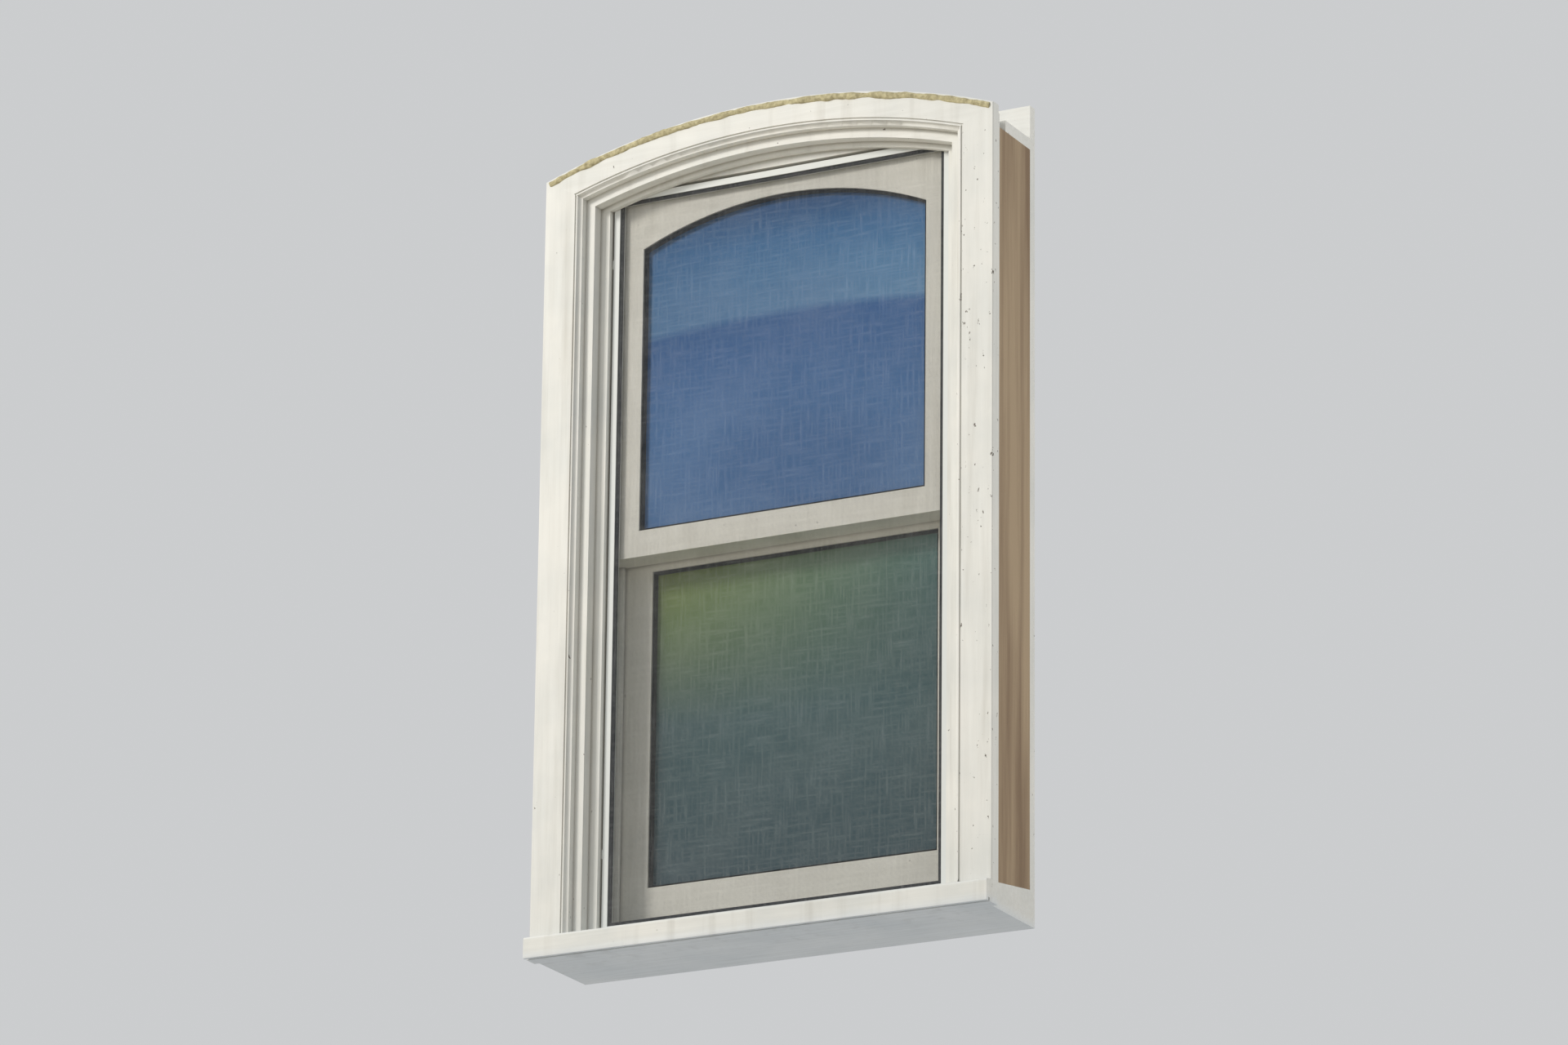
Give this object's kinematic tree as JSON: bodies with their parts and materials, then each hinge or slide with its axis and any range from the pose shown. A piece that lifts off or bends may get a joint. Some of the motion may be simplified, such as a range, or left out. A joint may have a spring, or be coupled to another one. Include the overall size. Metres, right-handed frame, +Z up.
{
  "type": "segmental-arched sash window",
  "caption": "Double-hung timber sash window in a box frame with a segmental arched head, an arched upper pane, an insect screen, and corded counterweights.",
  "frame": {"origin": "middle of the sill's flat underside, half-way through the window's whole depth", "axes": "+X to the right seen from outside, +Y into the building, +Z up"},
  "size_m": [0.86, 0.199, 1.4624],
  "materials": {
    "painted_trim": "satin",
    "painted_sash": "satin",
    "bare_timber": "matte",
    "window_glass": "gloss",
    "white_aluminium": "satin",
    "insect_mesh": "matte",
    "grey_rubber": "matte",
    "cotton_cord": "matte",
    "cast_iron": "matte",
    "brass": "satin",
    "plated_steel": "satin"
  },
  "bodies": {
    "frame": {"casing_head": "painted_trim", "casing_left": "painted_trim", "casing_right": "painted_trim", "outside_lining_head": "painted_trim", "outside_lining_left": "painted_trim", "outside_lining_right": "painted_trim", "blind_stop_head": "painted_trim", "blind_stop_left": "painted_trim", "blind_stop_right": "painted_trim", "head_filler_board": "painted_trim", "head_jamb": "painted_trim", "pulley_stile_left": "painted_trim", "pulley_stile_right": "painted_trim", "pocket_cover_left": "painted_trim", "pocket_cover_right": "painted_trim", "inside_lining_head": "painted_trim", "inside_lining_left": "painted_trim", "inside_lining_right": "painted_trim", "back_lining_left": "bare_timber", "back_lining_right": "bare_timber", "parting_bead_left": "painted_trim", "parting_bead_right": "painted_trim", "staff_bead_head": "painted_trim", "staff_bead_left": "painted_trim", "staff_bead_right": "painted_trim", "sill": "painted_trim", "screen_frame": "white_aluminium", "screen_mesh": "insect_mesh", "screen_spline": "grey_rubber", "pulley_housings_left": "plated_steel", "pulley_housings_right": "plated_steel", "upper_sash_cords": "cotton_cord", "lower_sash_cords": "cotton_cord", "upper_weight_cords": "cotton_cord", "lower_weight_cords": "cotton_cord", "cord_bends": "cotton_cord"},
    "upper_sash": {"upper_sash_stile_left": "painted_sash", "upper_sash_stile_right": "painted_sash", "upper_sash_top_rail": "painted_sash", "upper_sash_meeting_rail": "painted_sash", "upper_sash_glass": "window_glass", "upper_sash_glazing_bead": "painted_sash", "lock_keeper": "brass"},
    "lower_sash": {"lower_sash_stile_left": "painted_sash", "lower_sash_stile_right": "painted_sash", "lower_sash_meeting_rail": "painted_sash", "lower_sash_bottom_rail": "painted_sash", "lower_sash_glass": "window_glass", "lower_sash_glazing_bead": "painted_sash", "lock_base": "brass", "sash_lifts": "brass"},
    "lock_cam": {"lock_cam": "brass"},
    "upper_weight_left": {"upper_weight_left": "cast_iron"},
    "upper_pulley_wheel_left": {"upper_pulley_wheel_left": "brass"},
    "upper_weight_right": {"upper_weight_right": "cast_iron"},
    "upper_pulley_wheel_right": {"upper_pulley_wheel_right": "brass"},
    "lower_weight_left": {"lower_weight_left": "cast_iron"},
    "lower_pulley_wheel_left": {"lower_pulley_wheel_left": "brass"},
    "lower_weight_right": {"lower_weight_right": "cast_iron"},
    "lower_pulley_wheel_right": {"lower_pulley_wheel_right": "brass"}
  },
  "joints": [
    {"name": "upper_sash_slide", "type": "slide", "parent": "frame", "child": "upper_sash", "axis": [0, 0, 1], "range_m": [-0.55, 0], "deforming": ["upper_sash_cords"]},
    {"name": "upper_weight_left_slide", "type": "slide", "parent": "frame", "child": "upper_weight_left", "axis": [0, 0, 1], "range_m": [0, 0.55], "deforming": ["upper_weight_cords"]},
    {"name": "upper_pulley_left_turn", "type": "hinge", "parent": "frame", "child": "upper_pulley_wheel_left", "pos_m": [-0.3495, 0.0065, 1.27688], "axis": [0, 1, 0], "continuous": true},
    {"name": "upper_weight_right_slide", "type": "slide", "parent": "frame", "child": "upper_weight_right", "axis": [0, 0, 1], "range_m": [0, 0.55]},
    {"name": "upper_pulley_right_turn", "type": "hinge", "parent": "frame", "child": "upper_pulley_wheel_right", "pos_m": [0.3495, 0.0065, 1.27688], "axis": [0, 1, 0], "continuous": true},
    {"name": "lower_sash_slide", "type": "slide", "parent": "frame", "child": "lower_sash", "axis": [0, 0, 1], "range_m": [0, 0.55], "deforming": ["lower_sash_cords"]},
    {"name": "lower_weight_left_slide", "type": "slide", "parent": "frame", "child": "lower_weight_left", "axis": [0, 0, 1], "range_m": [-0.55, 0], "deforming": ["lower_weight_cords"]},
    {"name": "lower_pulley_left_turn", "type": "hinge", "parent": "frame", "child": "lower_pulley_wheel_left", "pos_m": [-0.3495, 0.0575, 1.27688], "axis": [0, 1, 0], "continuous": true},
    {"name": "lower_weight_right_slide", "type": "slide", "parent": "frame", "child": "lower_weight_right", "axis": [0, 0, 1], "range_m": [-0.55, 0]},
    {"name": "lower_pulley_right_turn", "type": "hinge", "parent": "frame", "child": "lower_pulley_wheel_right", "pos_m": [0.3495, 0.0575, 1.27688], "axis": [0, 1, 0], "continuous": true},
    {"name": "lock_cam_turn", "type": "hinge", "parent": "lower_sash", "child": "lock_cam", "pos_m": [0, 0.052, 0.75138], "axis": [0, 0, 1], "range_deg": [-90, 0]}
  ],
  "couplings": [
    {"joint": "upper_weight_left_slide", "follows": "upper_sash_slide", "ratio": -1},
    {"joint": "upper_pulley_left_turn", "follows": "upper_sash_slide", "rad_per_m": -41.667},
    {"joint": "upper_weight_right_slide", "follows": "upper_sash_slide", "ratio": -1},
    {"joint": "upper_pulley_right_turn", "follows": "upper_sash_slide", "rad_per_m": 41.667},
    {"joint": "lower_weight_left_slide", "follows": "lower_sash_slide", "ratio": -1},
    {"joint": "lower_pulley_left_turn", "follows": "lower_sash_slide", "rad_per_m": -41.667},
    {"joint": "lower_weight_right_slide", "follows": "lower_sash_slide", "ratio": -1},
    {"joint": "lower_pulley_right_turn", "follows": "lower_sash_slide", "rad_per_m": 41.667}
  ]
}
